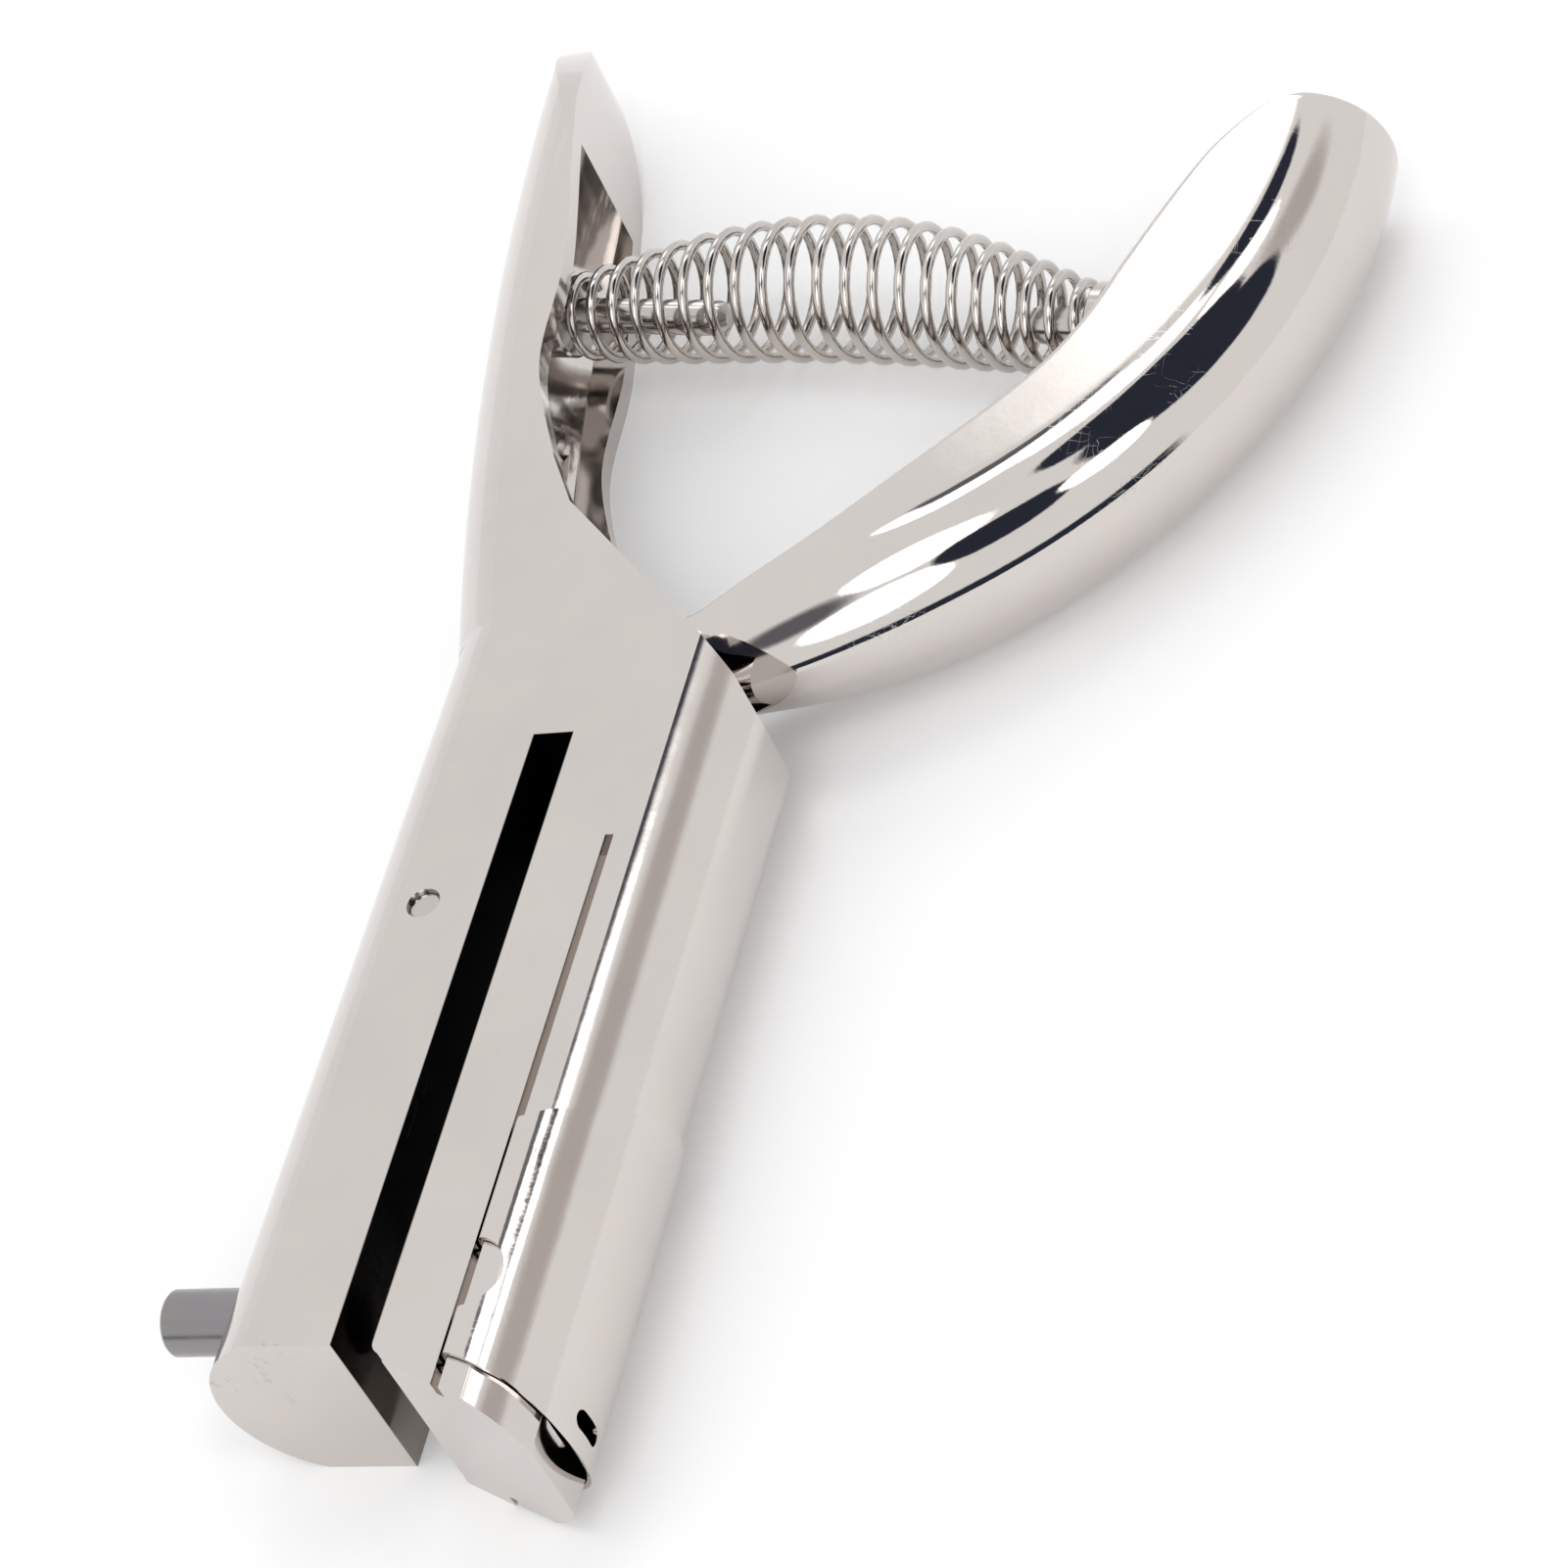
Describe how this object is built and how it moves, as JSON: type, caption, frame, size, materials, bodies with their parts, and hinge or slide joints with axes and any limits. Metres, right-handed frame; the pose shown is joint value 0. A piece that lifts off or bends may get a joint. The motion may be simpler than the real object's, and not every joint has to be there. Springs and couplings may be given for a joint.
{
  "type": "hand hole punch",
  "caption": "Plier-type hand hole punch: deep-reach jaws, sprung curved lever that drives a round punch into a die, sliding chip catcher.",
  "frame": {"origin": "on the back rest face, on the throat's centre line, 8 mm above the throat's closed end", "axes": "+X from the punch jaw across the throat to the die jaw, +Y along the jaws towards the handles, +Z out of the front face; the tool lies flat on its back face at Z = 0"},
  "size_m": [0.1023, 0.192, 0.0201],
  "materials": {
    "nickel_casting": "satin nickel plate",
    "polished_casting": "polished nickel plate",
    "nickel_sheet": "satin nickel plate",
    "tool_steel": "ground",
    "pin_steel": "turned, plated",
    "spring_wire": "bright plated wire"
  },
  "bodies": {
    "frame_body": {"frame": "nickel_casting", "die_bush": "tool_steel", "pivot_pin": "pin_steel", "guide_post": "pin_steel", "handle_spring": "spring_wire"},
    "lever_body": {"lever": "polished_casting", "spring_stud": "pin_steel"},
    "punch_body": {"punch": "tool_steel", "drive_pin": "pin_steel"},
    "catcher_body": {"chip_catcher": "nickel_sheet"}
  },
  "joints": [
    {"name": "lever_hinge", "type": "hinge", "parent": "frame_body", "child": "lever_body", "pos_m": [-0.0081, -0.0286, 0.00975], "axis": [0, 0, 1], "range_deg": [0, 7.5], "stiffness_Nm_per_rad": 8, "springref_deg": -6.88, "deforming": ["handle_spring"]},
    {"name": "punch_slide", "type": "slide", "parent": "frame_body", "child": "punch_body", "axis": [1, 0, 0], "range_m": [0, 0.00546]},
    {"name": "catcher_slide", "type": "slide", "parent": "frame_body", "child": "catcher_body", "axis": [0, 1, 0], "range_m": [-0.003, 0.031]}
  ],
  "couplings": [
    {"joint": "punch_slide", "follows": "lever_hinge", "m_per_rad": 0.04145}
  ]
}
